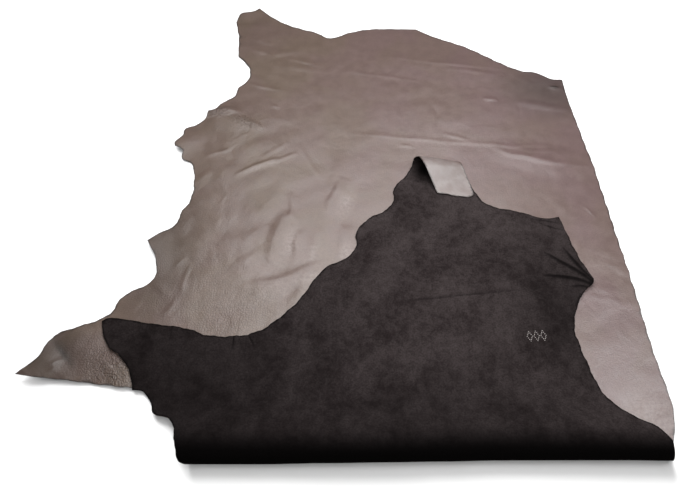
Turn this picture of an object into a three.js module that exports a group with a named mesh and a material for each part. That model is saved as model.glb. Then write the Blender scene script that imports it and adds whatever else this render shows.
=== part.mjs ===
// A tanned half hide, one side of a cow hide cut along the spine, lying grain side up.
// The neck and shoulder are turned back over the body in one loose roll, so that their flesh side
// shows, and the tip of the neck is turned back once more.
//
// The hide is one cut sheet. Its outline is given flat, as it was cut:
//   across runs from the belly (negative) to the spine (positive), and
//   along runs from the hind shank (positive) past the shoulder roll (about 0) to the tip of the
//   neck (negative).
// layLeather() says where each point of the flat sheet lies once the hide is folded.
// Millimetres, +Z up. The origin is on the surface that the hide lies on, at the middle.

import * as THREE from 'three';

const THICKNESS = 1.6;
const LAYER_GAP = 2;

// How leather turns back over itself: it tightens round the heel and the nose, opens over the
// crown, slopes down and lands on the layer below. Radii in mm, turns in degrees.
const ROLL_ARCS = [
  { part: 'heel', radius: 16, turn: 90 },
  { part: 'nose', radius: 30, turn: 60 },
  { part: 'crown', radius: 45, turn: 56 },
];
const LANDING_RADIUS = 120;

// The shoulder roll lies nearly square across the hide, fuller in some places than in others: where
// its nose comes to, and its size beside ROLL_ARCS, at places from the belly to the spine.
const SHOULDER_ROLL = [
  { across: -345, nose: -10.4, size: 0.84 },
  { across: -180, nose: -10.6, size: 0.88 },
  { across: -40, nose: -8.8, size: 1.03 },
  { across: 70, nose: -7.4, size: 1.07 },
  { across: 190, nose: -5.6, size: 0.98 },
  { across: 300, nose: -3.4, size: 0.94 },
  { across: 430, nose: -3.3, size: 1 },
  { across: 560, nose: -3.4, size: 1.07 },
  { across: 660, nose: -4.4, size: 1.08 },
];
// The roll of the neck's tip is a cone, open towards the belly and tight towards the spine.
const TIP_ROLL = { heel: 787, size: 0.93, taper: -0.0045, at: 195 };

// Places where the leather doesn't lie flat, a row for each: its middle as it lies, half its
// length and width, the heading of its length in degrees from across, and how far it rises.
const BODY_SWELLS = [
  { place: 'fore shank tip', x: -735, y: 205, length: 105, width: 95, heading: -60, rise: 14 },
  { place: 'fore shank root', x: -515, y: 190, length: 75, width: 55, heading: -50, rise: 5 },
  { place: 'flank pucker', x: -385, y: 990, length: 130, width: 75, heading: -20, rise: 7 },
  { place: 'belly lobe', x: -515, y: 872, length: 110, width: 85, heading: 25, rise: 9 },
  { place: 'belly edge', x: -520, y: 520, length: 110, width: 75, heading: 115, rise: 6 },
  { place: 'hind shank tip', x: -370, y: 1510, length: 110, width: 80, heading: 20, rise: 7 },
  { place: 'rib wave', x: -100, y: 560, length: 190, width: 95, heading: 80, rise: 4 },
  { place: 'spine ridge', x: 580, y: 815, length: 230, width: 75, heading: -14, rise: 5 },
  { place: 'rump wave', x: 300, y: 1215, length: 330, width: 90, heading: -9, rise: 3 },
];
const SHOULDER_SWELLS = [
  { place: 'dewlap corner', x: -525, y: 215, length: 110, width: 60, heading: -52, rise: 6 },
  { place: 'withers corner', x: 600, y: 425, length: 110, width: 90, heading: 30, rise: 8 },
  { place: 'shoulder wave', x: 120, y: 360, length: 420, width: 110, heading: 6, rise: 4 },
  { place: 'neck', x: 240, y: 730, length: 130, width: 90, heading: 80, rise: 5 },
];

// The outline, flat, as [across, along]. Each edge is one smooth curve between two corners, and
// the next edge starts where it ends.
const OUTLINE = [
  { edge: 'spine', through: [
    [673, 1155], [672, 1085], [680, 910], [687, 750], [690, 560], [692, 380], [691, 240],
    [695, 110], [685, 63], [667, 20], [653, -17], [647, -51], [646, -63]] },
  { edge: 'hump', through: [
    [646, -63], [632, -82], [619, -97], [592, -115], [556, -162], [536, -237], [524, -305],
    [523, -337], [541, -392], [568, -434], [589, -451], [594, -465]] },
  { edge: 'withers', through: [[594, -465], [578, -516], [570, -559], [552, -658]] },
  { edge: 'crest of the neck', through: [
    [552, -658], [510, -652], [451, -671], [377, -691], [353, -711], [332, -759], [306, -830],
    [304, -848], [320, -882], [331, -924], [333, -951], [319, -964]] },
  { edge: 'end of the neck', through: [[319, -964], [271, -972], [236, -980]] },
  { edge: 'throat', through: [
    [236, -980], [222, -951], [200, -908], [182, -864], [164, -815], [140, -785], [121, -762],
    [117, -750], [120, -731], [103, -694], [45, -657], [14, -610], [18, -584], [0, -547],
    [-32, -526]] },
  { edge: 'dewlap', through: [
    [-32, -526], [-54, -516], [-88, -475], [-112, -433], [-138, -398], [-200, -343],
    [-239, -327], [-324, -324], [-381, -342], [-460, -353], [-570, -369], [-582, -361]] },
  { edge: 'brisket', through: [
    [-582, -361], [-577, -344], [-563, -314], [-550, -296], [-502, -256], [-479, -214],
    [-475, -195]] },
  { edge: 'armpit', through: [
    [-475, -195], [-452, -192], [-428, -164], [-421, -146], [-410, -137], [-382, -129],
    [-369, -112], [-358, -82], [-350, -52], [-344, -32], [-334, -14], [-331, 4], [-338, 24],
    [-358, 60], [-400, 112], [-440, 140], [-535, 156], [-640, 168], [-702, 173], [-738, 178]] },
  { edge: 'fore shank', through: [
    [-738, 178], [-699, 217], [-685, 270], [-625, 300], [-571, 330], [-548, 378], [-484, 424],
    [-487, 479], [-519, 537]] },
  { edge: 'belly', through: [
    [-519, 537], [-494, 562], [-458, 588], [-449, 630], [-431, 670], [-431, 740], [-449, 803],
    [-479, 822], [-480, 850], [-504, 864]] },
  { edge: 'belly lobe', through: [
    [-504, 864], [-506, 877], [-489, 906], [-488, 933], [-436, 971], [-428, 1010]] },
  { edge: 'flank', through: [
    [-428, 1010], [-408, 1015], [-392, 1046], [-358, 1076], [-350, 1118]] },
  { edge: 'stifle', through: [
    [-350, 1118], [-325, 1148], [-320, 1195], [-340, 1238], [-366, 1268]] },
  { edge: 'hind shank', through: [
    [-366, 1268], [-376, 1372], [-391, 1453], [-379, 1489], [-334, 1505], [-319, 1522]] },
  { edge: 'tail side', through: [
    [-319, 1522], [-250, 1459], [-200, 1426], [-106, 1386], [-83, 1366], [-50, 1364],
    [-17, 1384], [60, 1408], [225, 1410]] },
  { edge: 'rump', through: [
    [225, 1410], [278, 1372], [388, 1312], [505, 1221], [557, 1193], [594, 1188], [640, 1157],
    [673, 1155]] },
];
// The knife wavers a little all the way round.
const KNIFE_WAVER = { depth: 1.2, pitch: 48 };

// How close the vertices lie: CELL apart on flat leather, EDGE_STEP apart along a smooth edge, and
// in rows across the hide that close up where it bends, a row of this table for each band.
const CELL = 60;
const EDGE_STEP = 18;
const EDGE_CLEARANCE = 0.42 * CELL;
const BANDS = [
  { band: 'body', from: 1600, to: 16, spacing: 60 },
  { band: 'heel and nose', from: 16, to: -54, spacing: 5.5 },
  { band: 'crown', from: -54, to: -104, spacing: 10 },
  { band: 'slope', from: -104, to: -160, spacing: 22 },
  { band: 'landing', from: -160, to: -226, spacing: 15 },
  { band: 'shoulder', from: -226, to: -826, spacing: 60 },
  { band: 'heel and nose of the tip', from: -826, to: -880, spacing: 7 },
  { band: 'tip', from: -880, to: -1000, spacing: 15 },
];

const GRAIN_COLOUR = 0x8c7f7a;
const LEATHER_ROUGHNESS = 0.55;

// ---- How the leather turns and lies ------------------------------------------------------------

// The roll's section as arcs and straights, each with where it starts: forward is away from the
// layer it leaves, up is above it, and pitch is the heading of the leather, from 0 to half a turn.
function rollSection() {
  const section = [];
  let run = 0;
  let forward = 0;
  let up = 0;
  let pitch = 0;
  const add = (radius, length, turn) => {
    section.push({ run, radius, pitch, forward, up });
    const end = pointPast(section.at(-1), length);
    run += length;
    forward = end.forward;
    up = end.up;
    pitch += turn;
  };
  for (const { radius, turn } of ROLL_ARCS) {
    const angle = THREE.MathUtils.degToRad(turn);
    add(radius, radius * angle, angle);
  }
  const over = pitch - Math.PI;
  const landed = THICKNESS + LAYER_GAP + LANDING_RADIUS * (1 - Math.cos(over));
  add(Infinity, (up - landed) / Math.sin(over), 0);
  add(-LANDING_RADIUS, LANDING_RADIUS * over, -over);
  add(Infinity, 0, 0);
  return section;
}

// The point of the leather a distance past the start of one piece of the section.
function pointPast(piece, distance) {
  if (!Number.isFinite(piece.radius)) {
    return {
      forward: piece.forward + Math.cos(piece.pitch) * distance,
      up: piece.up + Math.sin(piece.pitch) * distance,
    };
  }
  const pitch = piece.pitch + distance / piece.radius;
  return {
    forward: piece.forward + piece.radius * (Math.sin(pitch) - Math.sin(piece.pitch)),
    up: piece.up + piece.radius * (Math.cos(piece.pitch) - Math.cos(pitch)),
  };
}

const SECTION = rollSection();
const LANDED_RUN = SECTION.at(-1).run;

// A roll of another size lands on its layer with the same gap.
function turnBack(run, size) {
  const scaled = run / size;
  const piece = SECTION.findLast((candidate) => candidate.run <= scaled);
  const point = pointPast(piece, scaled - piece.run);
  const landing = THREE.MathUtils.smoothstep(scaled, LANDED_RUN / 3, LANDED_RUN);
  const lift = landing * (1 - size) * (THICKNESS + LAYER_GAP);
  return { forward: point.forward * size, up: point.up * size + lift };
}

// The shoulder roll's nose and size at a place across the hide, eased from row to row.
function rollAt(across) {
  const [first, last] = [SHOULDER_ROLL[0], SHOULDER_ROLL.at(-1)];
  const place = THREE.MathUtils.clamp(across, first.across, last.across - 1e-6);
  const i = SHOULDER_ROLL.findLastIndex((row) => row.across <= place);
  const [from, to] = [SHOULDER_ROLL[i], SHOULDER_ROLL[i + 1]];
  const ease = THREE.MathUtils.smoothstep(place, from.across, to.across);
  const nose = THREE.MathUtils.lerp(from.nose, to.nose, ease);
  const size = THREE.MathUtils.lerp(from.size, to.size, ease);
  return { nose, size };
}

// A soft hump that is level at its rim, so the leather round it stays flat.
function riseOf(swells, x, y) {
  let rise = 0;
  for (const swell of swells) {
    const heading = THREE.MathUtils.degToRad(swell.heading);
    const lengthwise = (x - swell.x) * Math.cos(heading) + (y - swell.y) * Math.sin(heading);
    const crosswise = (y - swell.y) * Math.cos(heading) - (x - swell.x) * Math.sin(heading);
    const reach = (lengthwise / swell.length) ** 2 + (crosswise / swell.width) ** 2;
    if (reach < 1) rise += swell.rise * (1 - reach) ** 2;
  }
  return rise;
}

// Where a point of the flat sheet's middle surface lies.
function layLeather(across, alongHide) {
  const { nose, size } = rollAt(across);
  const heel = nose + ROLL_ARCS[0].radius * size;
  const past = heel - alongHide;
  if (past <= 0) {
    const rise = riseOf(BODY_SWELLS, across, alongHide);
    return new THREE.Vector3(across, alongHide, THICKNESS / 2 + rise);
  }
  const roll = turnBack(past, size);
  let y = heel - roll.forward;
  let up = THICKNESS / 2 + roll.up;
  const pastTip = y - TIP_ROLL.heel;
  if (past >= LANDED_RUN * size && pastTip > 0) {
    const tip = turnBack(pastTip, TIP_ROLL.size + TIP_ROLL.taper * (across - TIP_ROLL.at));
    y = TIP_ROLL.heel + tip.forward;
    up += tip.up;
  }
  const settled = THREE.MathUtils.smoothstep(past, LANDED_RUN / 3, LANDED_RUN);
  const rise = riseOf(BODY_SWELLS, across, y) + riseOf(SHOULDER_SWELLS, across, y);
  return new THREE.Vector3(across, y, up + settled * rise);
}

// The grain side's direction there.
function grainNormal(across, alongHide) {
  const reach = 0.25;
  const acrossward = layLeather(across + reach, alongHide)
    .sub(layLeather(across - reach, alongHide));
  const alongward = layLeather(across, alongHide + reach)
    .sub(layLeather(across, alongHide - reach));
  return acrossward.cross(alongward).normalize();
}

// ---- The flat sheet's triangles ----------------------------------------------------------------

// Flat leather measured in rows: within a band, one spacing counts as one cell.
function rowsDown(alongHide) {
  let rows = 0;
  for (const { from, to, spacing } of BANDS) {
    rows += (from - Math.min(from, Math.max(to, alongHide))) / spacing;
  }
  return rows;
}

function alongAtRow(row) {
  let left = row;
  for (const { from, to, spacing } of BANDS) {
    const rows = (from - to) / spacing;
    if (left <= rows) return from - left * spacing;
    left -= rows;
  }
  return BANDS.at(-1).to;
}

// Sheet points carry their place in rows too, where triangles keep a good shape.
function sheetPoint(across, alongHide) {
  const place = new THREE.Vector2(across, -CELL * rowsDown(alongHide));
  return Object.assign(place, { across, along: alongHide });
}

function edgePoints() {
  const points = [];
  for (const { through } of OUTLINE) {
    const corners = through.map(([x, y]) => new THREE.Vector3(x, y, 0));
    const curve = new THREE.CatmullRomCurve3(corners, false, 'centripetal');
    const length = curve.getLength();
    const fine = curve.getSpacedPoints(Math.ceil(length / 2));
    const weights = fine.map((point, i) => {
      if (i === 0) return 0;
      const step = point.distanceTo(fine[i - 1]) / EDGE_STEP;
      return Math.max(step, Math.abs(rowsDown(point.y) - rowsDown(fine[i - 1].y)));
    });
    const total = weights.reduce((sum, weight) => sum + weight, 0);
    const count = Math.max(2, Math.round(total));
    let passed = 0;
    let made = 0;
    fine.forEach((point, i) => {
      passed += weights[i];
      if (made >= count || passed < (made * total) / count) return;
      const ahead = fine[Math.min(i + 1, fine.length - 1)];
      const side = new THREE.Vector3().subVectors(ahead, point).normalize();
      const end = Math.sin(Math.PI * (made / count));
      const turns = (2 * Math.PI * length * (i / (fine.length - 1))) / KNIFE_WAVER.pitch;
      const waver = KNIFE_WAVER.depth * end * Math.sin(turns);
      points.push(sheetPoint(point.x + waver * side.y, point.y - waver * side.x));
      made += 1;
    });
  }
  return THREE.ShapeUtils.isClockWise(points) ? points.reverse() : points;
}

function distanceToEdge(point, edge) {
  let nearest = Infinity;
  edge.forEach((a, i) => {
    const b = edge[(i + 1) % edge.length];
    const reach = (b.x - a.x) ** 2 + (b.y - a.y) ** 2;
    const dot = (point.x - a.x) * (b.x - a.x) + (point.y - a.y) * (b.y - a.y);
    const t = THREE.MathUtils.clamp(dot / reach, 0, 1);
    const gap = Math.hypot(a.x + t * (b.x - a.x) - point.x, a.y + t * (b.y - a.y) - point.y);
    nearest = Math.min(nearest, gap);
  });
  return nearest;
}

function isInside(point, edge) {
  let inside = false;
  edge.forEach((a, i) => {
    const b = edge[(i + 1) % edge.length];
    if (a.y > point.y === b.y > point.y) return;
    const crossing = a.x + ((point.y - a.y) / (b.y - a.y)) * (b.x - a.x);
    if (point.x < crossing) inside = !inside;
  });
  return inside;
}

// Points inside the sheet, in staggered rows.
function fieldPoints(edge) {
  const left = Math.min(...edge.map((point) => point.x));
  const right = Math.max(...edge.map((point) => point.x));
  const rowStep = Math.sqrt(3) / 2;
  const lastRow = rowsDown(BANDS.at(-1).to);
  const points = [];
  for (let n = 0; n * rowStep < lastRow; n += 1) {
    const y = alongAtRow(n * rowStep);
    for (let x = left + (n % 2) * (CELL / 2); x < right; x += CELL) {
      const point = sheetPoint(x, y);
      if (isInside(point, edge) && distanceToEdge(point, edge) > EDGE_CLEARANCE) {
        points.push(point);
      }
    }
  }
  return points;
}

const turnOf = (a, b, c) => (b.x - a.x) * (c.y - a.y) - (b.y - a.y) * (c.x - a.x);

// Whether d lies inside the circle through a, b and c.
function inCircle(a, b, c, d) {
  const rows = [a, b, c].map((p) => {
    const dx = p.x - d.x;
    const dy = p.y - d.y;
    return [dx, dy, dx * dx + dy * dy];
  });
  return new THREE.Matrix3().set(...rows.flat()).determinant() > 1e-3;
}

// Splits the triangle that holds each field point into three round it.
function addField(points, faces, firstField) {
  for (let i = firstField; i < points.length; i += 1) {
    const at = faces.findIndex(([a, b, c]) =>
      turnOf(points[a], points[b], points[i]) >= 0
      && turnOf(points[b], points[c], points[i]) >= 0
      && turnOf(points[c], points[a], points[i]) >= 0);
    const [a, b, c] = faces[at];
    faces.splice(at, 1, [a, b, i], [b, c, i], [c, a, i]);
  }
}

// Swaps the shared side of two triangles wherever the other diagonal gives rounder ones.
function evenOut(points, faces) {
  for (let swapped = true; swapped;) {
    swapped = false;
    const sides = new Map();
    faces.forEach((face, i) => face.forEach((vertex, k) => {
      sides.set(`${vertex} ${face[(k + 1) % 3]}`, i);
    }));
    const changed = new Set();
    for (const [side, i] of sides) {
      const [a, b] = side.split(' ').map(Number);
      const j = sides.get(`${b} ${a}`);
      if (a > b || j === undefined || changed.has(i) || changed.has(j)) continue;
      const c = faces[i].find((vertex) => vertex !== a && vertex !== b);
      const d = faces[j].find((vertex) => vertex !== a && vertex !== b);
      if (!inCircle(points[a], points[b], points[c], points[d])) continue;
      faces[i] = [a, d, c];
      faces[j] = [d, b, c];
      changed.add(i).add(j);
      swapped = true;
    }
  }
}

function flatSheet() {
  const edge = edgePoints();
  const points = [...edge, ...fieldPoints(edge)];
  const faces = THREE.ShapeUtils.triangulateShape(edge, []);
  addField(points, faces, edge.length);
  evenOut(points, faces);
  return { points, faces, edgeCount: edge.length };
}

// ---- The folded hide ---------------------------------------------------------------------------

// The sheet's two sides half a thickness either way of its middle, and the cut edge between them.
function hideGeometry() {
  const { points, faces, edgeCount } = flatSheet();
  const grain = [];
  const flesh = [];
  for (const point of points) {
    const middle = layLeather(point.across, point.along);
    const half = grainNormal(point.across, point.along).multiplyScalar(THICKNESS / 2);
    grain.push(middle.clone().add(half));
    flesh.push(middle.clone().sub(half));
  }
  const fleshStart = points.length;
  const index = [];
  for (const [a, b, c] of faces) {
    index.push(a, b, c);
    index.push(fleshStart + a, fleshStart + c, fleshStart + b);
  }
  for (let a = 0; a < edgeCount; a += 1) {
    const b = (a + 1) % edgeCount;
    index.push(fleshStart + a, fleshStart + b, b);
    index.push(fleshStart + a, b, a);
  }
  const geometry = new THREE.BufferGeometry().setFromPoints([...grain, ...flesh]);
  geometry.setIndex(index);
  geometry.computeVertexNormals();
  return geometry;
}

const geometry = hideGeometry();
geometry.computeBoundingBox();
const middle = geometry.boundingBox.getCenter(new THREE.Vector3());

const hide = new THREE.Mesh(geometry, new THREE.MeshStandardMaterial({
  color: GRAIN_COLOUR,
  roughness: LEATHER_ROUGHNESS,
  metalness: 0,
}));
hide.name = 'hide';
hide.position.set(-middle.x, -middle.y, 0);

const group = new THREE.Group();
group.add(hide);

export default group;
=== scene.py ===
import math

import bpy
import numpy as np
from mathutils.geometry import delaunay_2d_cdt
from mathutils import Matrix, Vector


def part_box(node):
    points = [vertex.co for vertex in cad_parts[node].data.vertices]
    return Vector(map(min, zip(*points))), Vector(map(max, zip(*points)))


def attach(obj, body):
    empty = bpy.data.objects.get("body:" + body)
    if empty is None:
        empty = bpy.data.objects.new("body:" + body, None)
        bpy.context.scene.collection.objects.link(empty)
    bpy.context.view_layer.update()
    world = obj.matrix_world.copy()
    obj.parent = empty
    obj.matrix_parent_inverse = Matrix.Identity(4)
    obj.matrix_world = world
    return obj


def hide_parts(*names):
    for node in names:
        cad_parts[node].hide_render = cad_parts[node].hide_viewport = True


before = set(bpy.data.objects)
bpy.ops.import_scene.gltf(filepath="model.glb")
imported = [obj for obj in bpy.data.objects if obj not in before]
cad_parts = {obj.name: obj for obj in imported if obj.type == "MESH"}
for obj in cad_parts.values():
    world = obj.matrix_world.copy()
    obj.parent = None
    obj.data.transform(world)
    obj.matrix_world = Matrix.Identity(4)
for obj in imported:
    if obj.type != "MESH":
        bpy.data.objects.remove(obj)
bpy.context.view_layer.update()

# ---- The camera ------------------------------------------------------------------------------------
# It is held 1.2 m above the floor, 0.25 m before the shoulder roll, and looks away over the hide.
hide_low, hide_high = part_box("hide")
EYE_HEIGHT = 1.2
EYE_BEFORE_ROLL = 0.2511
EYE_PAST_SHANK = 0.738
EYE_TILT = math.radians(56.884)
LENS_MM = 28.8
FILM_MM = 36

camera = bpy.data.objects.new("camera", bpy.data.cameras.new("camera"))
bpy.context.scene.collection.objects.link(camera)
camera.location = (hide_low.x + EYE_PAST_SHANK, hide_low.y - EYE_BEFORE_ROLL, EYE_HEIGHT)
camera.rotation_euler = (math.pi / 2 - EYE_TILT, 0, 0)
camera.data.lens = LENS_MM
camera.data.sensor_width = FILM_MM
bpy.context.scene.camera = camera

# ---- The hide: how it was cut ----------------------------------------------------------------------
# One side of a cow hide, chrome tanned upholstery leather 1.6 mm thick, cut along the spine.
# Its outline is given flat: across runs from the belly (negative) to the spine, and along runs from
# the hind shank (positive) past the shoulder roll (about 0) to the tip of the neck. Metres.
THICKNESS = 0.0016
OUTLINE = [
    ("spine", [
        (0.673, 1.155), (0.672, 1.085), (0.680, 0.910), (0.687, 0.750), (0.690, 0.560),
        (0.692, 0.380), (0.691, 0.240), (0.695, 0.110), (0.685, 0.063), (0.667, 0.020),
        (0.653, -0.017), (0.647, -0.051), (0.646, -0.063)]),
    ("hump", [
        (0.646, -0.063), (0.632, -0.082), (0.619, -0.097), (0.592, -0.115), (0.556, -0.162),
        (0.536, -0.237), (0.524, -0.305), (0.523, -0.337), (0.541, -0.392), (0.568, -0.434),
        (0.589, -0.451), (0.594, -0.465)]),
    ("withers", [(0.594, -0.465), (0.578, -0.516), (0.570, -0.559), (0.552, -0.658)]),
    ("crest of the neck", [
        (0.552, -0.658), (0.510, -0.652), (0.451, -0.671), (0.377, -0.691), (0.353, -0.711),
        (0.332, -0.759), (0.306, -0.830), (0.304, -0.848), (0.320, -0.882), (0.331, -0.924),
        (0.333, -0.951), (0.319, -0.964)]),
    ("end of the neck", [(0.319, -0.964), (0.271, -0.972), (0.236, -0.980)]),
    ("throat", [
        (0.236, -0.980), (0.222, -0.951), (0.200, -0.908), (0.182, -0.864), (0.164, -0.815),
        (0.140, -0.785), (0.121, -0.762), (0.117, -0.750), (0.120, -0.731), (0.103, -0.694),
        (0.045, -0.657), (0.014, -0.610), (0.018, -0.584), (0.000, -0.547), (-0.032, -0.526)]),
    ("dewlap", [
        (-0.032, -0.526), (-0.054, -0.516), (-0.088, -0.475), (-0.112, -0.433), (-0.138, -0.398),
        (-0.200, -0.343), (-0.239, -0.327), (-0.324, -0.324), (-0.381, -0.342), (-0.460, -0.353),
        (-0.570, -0.369), (-0.582, -0.361)]),
    ("brisket", [
        (-0.582, -0.361), (-0.577, -0.344), (-0.563, -0.314), (-0.550, -0.296), (-0.502, -0.256),
        (-0.479, -0.214), (-0.475, -0.195)]),
    ("armpit", [
        (-0.475, -0.195), (-0.452, -0.192), (-0.428, -0.164), (-0.421, -0.146), (-0.410, -0.137),
        (-0.382, -0.129), (-0.369, -0.112), (-0.358, -0.082), (-0.350, -0.052), (-0.344, -0.032),
        (-0.334, -0.014), (-0.331, 0.004), (-0.338, 0.024), (-0.358, 0.060), (-0.400, 0.112),
        (-0.440, 0.140), (-0.535, 0.156), (-0.640, 0.168), (-0.702, 0.173), (-0.738, 0.178)]),
    ("fore shank", [
        (-0.738, 0.178), (-0.699, 0.217), (-0.685, 0.270), (-0.625, 0.300), (-0.571, 0.330),
        (-0.548, 0.378), (-0.484, 0.424), (-0.487, 0.479), (-0.519, 0.537)]),
    ("belly", [
        (-0.519, 0.537), (-0.494, 0.562), (-0.458, 0.588), (-0.449, 0.630), (-0.431, 0.670),
        (-0.431, 0.740), (-0.449, 0.803), (-0.479, 0.822), (-0.480, 0.850), (-0.504, 0.864)]),
    ("belly lobe", [
        (-0.504, 0.864), (-0.506, 0.877), (-0.489, 0.906), (-0.488, 0.933), (-0.436, 0.971),
        (-0.428, 1.010)]),
    ("flank", [
        (-0.428, 1.010), (-0.408, 1.015), (-0.392, 1.046), (-0.358, 1.076), (-0.350, 1.118)]),
    ("stifle", [
        (-0.350, 1.118), (-0.325, 1.148), (-0.320, 1.195), (-0.340, 1.238), (-0.366, 1.268)]),
    ("hind shank", [
        (-0.366, 1.268), (-0.376, 1.372), (-0.391, 1.453), (-0.379, 1.489), (-0.334, 1.505),
        (-0.319, 1.522)]),
    ("tail side", [
        (-0.319, 1.522), (-0.250, 1.459), (-0.200, 1.426), (-0.106, 1.386), (-0.083, 1.366),
        (-0.050, 1.364), (-0.017, 1.384), (0.060, 1.408), (0.225, 1.410)]),
    ("rump", [
        (0.225, 1.410), (0.278, 1.372), (0.388, 1.312), (0.505, 1.221), (0.557, 1.193),
        (0.594, 1.188), (0.640, 1.157), (0.673, 1.155)]),
]
# The knife wavers all the way round: long soft scallops with shorter ones on them.
KNIFE_WAVERS = [
    {"depth": 0.0012, "pitch": 0.048},
    {"depth": 0.0005, "pitch": 0.017},
]

# Steps from each point of a line to the next, while its curve is found.
FINE_STEPS = 40


def smooth_line(through, step):
    """Points a step apart on one smooth curve through a list of points."""
    points = [np.array(point, float) for point in through]
    points.insert(0, 2 * points[0] - points[1])
    points.append(2 * points[-1] - points[-2])
    fine = [points[1]]
    for before, start, end, after in zip(points, points[1:], points[2:], points[3:]):
        spans = [math.sqrt(np.linalg.norm(b - a)) for a, b in
                 ((before, start), (start, end), (end, after))]
        leaving = ((start - before) / spans[0] - (end - before) / (spans[0] + spans[1])
                   + (end - start) / spans[1]) * spans[1]
        arriving = ((end - start) / spans[1] - (after - start) / (spans[1] + spans[2])
                    + (after - end) / spans[2]) * spans[1]
        for t in np.linspace(0, 1, FINE_STEPS + 1)[1:]:
            fine.append((2 * t**3 - 3 * t**2 + 1) * start + (t**3 - 2 * t**2 + t) * leaving
                        + (3 * t**2 - 2 * t**3) * end + (t**3 - t**2) * arriving)
    fine = np.array(fine)
    run = np.concatenate([[0], np.cumsum(np.linalg.norm(np.diff(fine, axis=0), axis=1))])
    places = np.linspace(0, run[-1], max(2, round(run[-1] / step)) + 1)
    return np.column_stack([np.interp(places, run, fine[:, k]) for k in range(2)]), places


def cut_outline(step):
    """The whole outline, with the knife's wavers, as points a step apart."""
    pieces = []
    for _, through in OUTLINE:
        line, run = smooth_line(through, step)
        side = np.gradient(line, axis=0)
        side /= np.linalg.norm(side, axis=1)[:, None]
        waver = sum(row["depth"] * np.sin(2 * np.pi * run / row["pitch"]) for row in KNIFE_WAVERS)
        waver *= np.sin(np.pi * run / run[-1])
        line[:, 0] += waver * side[:, 1]
        line[:, 1] -= waver * side[:, 0]
        pieces.append(line[:-1])
    return np.concatenate(pieces)


# ---- The hide: how it lies -------------------------------------------------------------------------
# The neck and shoulder are turned back over the body in one loose roll, flesh side up, and the tip
# of the neck is turned back once more. Nothing holds the folds: the leather's own spring does.
LAYER_GAP = 0.002

# How leather turns back over itself: it tightens round the heel and the nose, opens over the
# crown, slopes down and lands on the layer below. Metres and degrees.
ROLL_ARCS = [
    {"part": "heel", "radius": 0.016, "turn": 90},
    {"part": "nose", "radius": 0.030, "turn": 60},
    {"part": "crown", "radius": 0.045, "turn": 56},
]
LANDING_RADIUS = 0.120
# Where the roll's nose comes to and its size beside ROLL_ARCS, from the belly to the spine.
SHOULDER_ROLL = [
    {"across": -0.345, "nose": -0.0104, "size": 0.84},
    {"across": -0.180, "nose": -0.0106, "size": 0.88},
    {"across": -0.040, "nose": -0.0088, "size": 1.03},
    {"across": 0.070, "nose": -0.0074, "size": 1.07},
    {"across": 0.190, "nose": -0.0056, "size": 0.98},
    {"across": 0.300, "nose": -0.0034, "size": 0.94},
    {"across": 0.430, "nose": -0.0033, "size": 1.00},
    {"across": 0.560, "nose": -0.0034, "size": 1.07},
    {"across": 0.660, "nose": -0.0044, "size": 1.08},
]
# The roll of the neck's tip is a cone, open towards the belly and tight towards the spine.
# Its size changes by the taper from the place that it is given at, and never gets below the smallest.
TIP_ROLL = {"heel": 0.787, "size": 0.93, "taper": -4.5, "at": 0.195, "smallest": 0.1}

# Swells: the middle of each as it lies, half its length and width, its heading in degrees from
# across, and its rise.
BODY_SWELLS = [
    ("fore shank tip", -0.735, 0.205, 0.105, 0.095, -60, 0.014),
    ("fore shank middle", -0.640, 0.225, 0.130, 0.095, -42, 0.008),
    ("fore shank root", -0.515, 0.190, 0.075, 0.055, -50, 0.005),
    ("flank pucker", -0.385, 0.990, 0.130, 0.075, -20, 0.007),
    ("belly lobe", -0.515, 0.872, 0.110, 0.085, 25, 0.009),
    ("belly edge", -0.520, 0.520, 0.110, 0.075, 115, 0.006),
    ("hind shank tip", -0.370, 1.510, 0.110, 0.080, 20, 0.007),
    ("rib wave", -0.100, 0.560, 0.190, 0.095, 80, 0.004),
    ("spine ridge", 0.580, 0.815, 0.230, 0.075, -14, 0.005),
    ("rump wave", 0.300, 1.215, 0.330, 0.090, -9, 0.003),
]
SHOULDER_SWELLS = [
    ("dewlap corner", -0.525, 0.215, 0.110, 0.060, -52, 0.006),
    ("withers corner", 0.600, 0.425, 0.110, 0.090, 30, 0.008),
    ("shoulder wave", 0.120, 0.360, 0.420, 0.110, 6, 0.004),
    ("neck", 0.240, 0.730, 0.130, 0.090, 80, 0.005),
]

# Leather never lies dead flat. Long soft waves lift it a little off the floor, more where it is
# loose: each wave's length, heading in degrees from across, height and start.
SLACK_WAVES = [
    (0.230, 12, 0.0014, 0.4),
    (0.170, -38, 0.0012, 2.1),
    (0.118, 74, 0.0014, 4.0),
    (0.083, 128, 0.0010, 1.2),
    (0.061, 96, 0.0007, 5.1),
    (0.043, 22, 0.0004, 3.0),
]
# A wave bends to the side by a share of its length, once in a number of lengths. Taut leather still
# has a share of the height that loose leather has, and the roll holds the leather by it down.
WAVE_BEND = 0.25
WAVE_BEND_LENGTHS = 2.7
TAUT_SHARE = 0.35
HELD_DOWN_BY_ROLL = (0.020, 0.110)
# Patches on the flat hide: the middle, half the length and width, the heading and the amount.
# The leather of the belly, flank, brisket and shanks is looser than the back's.
LOOSE_LEATHER = [
    ("belly", -0.330, 0.560, 0.420, 0.260, 100, 1.0),
    ("brisket", -0.300, 0.330, 0.300, 0.200, 15, 1.0),
    ("flank", -0.330, 0.930, 0.220, 0.200, 40, 0.9),
    ("fore shank", -0.580, 0.200, 0.220, 0.130, -20, 1.0),
    ("hind shank", -0.290, 1.350, 0.230, 0.180, 110, 0.7),
    ("withers", 0.600, 0.430, 0.160, 0.150, 0, 0.5),
]

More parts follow.
